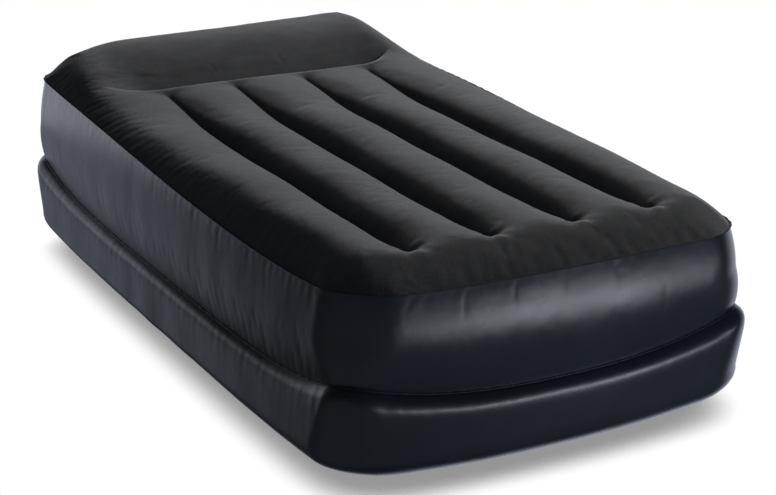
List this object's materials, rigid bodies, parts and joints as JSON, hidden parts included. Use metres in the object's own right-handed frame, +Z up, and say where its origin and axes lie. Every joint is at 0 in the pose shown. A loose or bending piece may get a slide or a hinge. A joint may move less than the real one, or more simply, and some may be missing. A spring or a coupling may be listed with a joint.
{
  "type": "air mattress",
  "caption": "Raised single air bed with a flocked, channelled top, a built-in pillow, two-tier vinyl side walls and a recessed electric pump at the head.",
  "frame": {"origin": "centre of the footprint, on the floor", "axes": "+Z up, +Y towards the head (pillow) end, +X to the right of someone lying on their back"},
  "size_m": [0.99, 1.91, 0.53],
  "materials": {
    "flocked_top": "short flocked pile, dark blue-grey",
    "wall_vinyl": "satin vinyl, dark navy",
    "bottom_vinyl": "satin vinyl, near black",
    "inner_vinyl": "plain vinyl",
    "pump_black": "fine-grained moulded plastic",
    "dial_plastic": "satin moulded plastic",
    "grey_plastic": "satin moulded plastic",
    "gland_rubber": "matt",
    "switch_black": "glossy",
    "switch_red": "glossy, slightly see-through look",
    "steel": "zinc plated",
    "magnet": "sintered, dull",
    "bronze": "sintered bronze and copper"
  },
  "bodies": {
    "bed": {"top_sheet": "flocked_top", "upper_wall": "wall_vinyl", "lower_wall": "wall_vinyl", "pump_collar": "wall_vinyl", "bottom_sheet": "bottom_vinyl", "waist_sheet": "inner_vinyl", "pillow_beam": "inner_vinyl", "upper_beam_far_left": "inner_vinyl", "upper_beam_left": "inner_vinyl", "upper_beam_right": "inner_vinyl", "upper_beam_far_right": "inner_vinyl", "lower_beam_far_left": "inner_vinyl", "lower_beam_left": "inner_vinyl", "lower_beam_right": "inner_vinyl", "lower_beam_far_right": "inner_vinyl", "faceplate": "pump_black", "pump_cup": "pump_black", "blower_front": "grey_plastic", "blower_back": "grey_plastic", "outlet_duct": "grey_plastic", "valve_seat": "grey_plastic", "motor_end_cap": "grey_plastic", "cord_gland": "gland_rubber", "switch_body": "switch_black", "faceplate_screws": "steel", "door_pin": "steel", "flap_pin": "steel", "motor_screws": "steel", "motor_can": "steel", "field_magnets": "magnet", "motor_bearings": "bronze", "motor_brushes": "bronze"},
    "selector": {"selector_dial": "dial_plastic", "selector_spindle": "grey_plastic", "spindle_seal": "gland_rubber", "selector_drum": "grey_plastic"},
    "cord_door": {"cord_door": "pump_black"},
    "rocker": {"rocker": "switch_red"},
    "rotor": {"impeller": "grey_plastic", "armature": "steel", "commutator": "bronze", "motor_shaft": "steel"},
    "check_flap": {"check_flap": "grey_plastic"}
  },
  "joints": [
    {"name": "dial_turn", "type": "hinge", "parent": "bed", "child": "selector", "pos_m": [0.222, 0.936, 0.31], "axis": [0, 1, 0], "range_deg": [-60, 60]},
    {"name": "cord_door_swing", "type": "hinge", "parent": "bed", "child": "cord_door", "pos_m": [0.0924, 0.934, 0.31], "axis": [0, 0, 1], "range_deg": [0, 100]},
    {"name": "rocker_tip", "type": "hinge", "parent": "bed", "child": "rocker", "pos_m": [0.292, 0.933, 0.34], "axis": [1, 0, 0], "range_deg": [0, 18]},
    {"name": "rotor_spin", "type": "hinge", "parent": "bed", "child": "rotor", "pos_m": [0.222, 0.871, 0.31], "axis": [0, 1, 0], "continuous": true},
    {"name": "flap_swing", "type": "hinge", "parent": "bed", "child": "check_flap", "pos_m": [0.29, 0.8106, 0.334], "axis": [-1, 0, 0], "range_deg": [0, 50]}
  ]
}
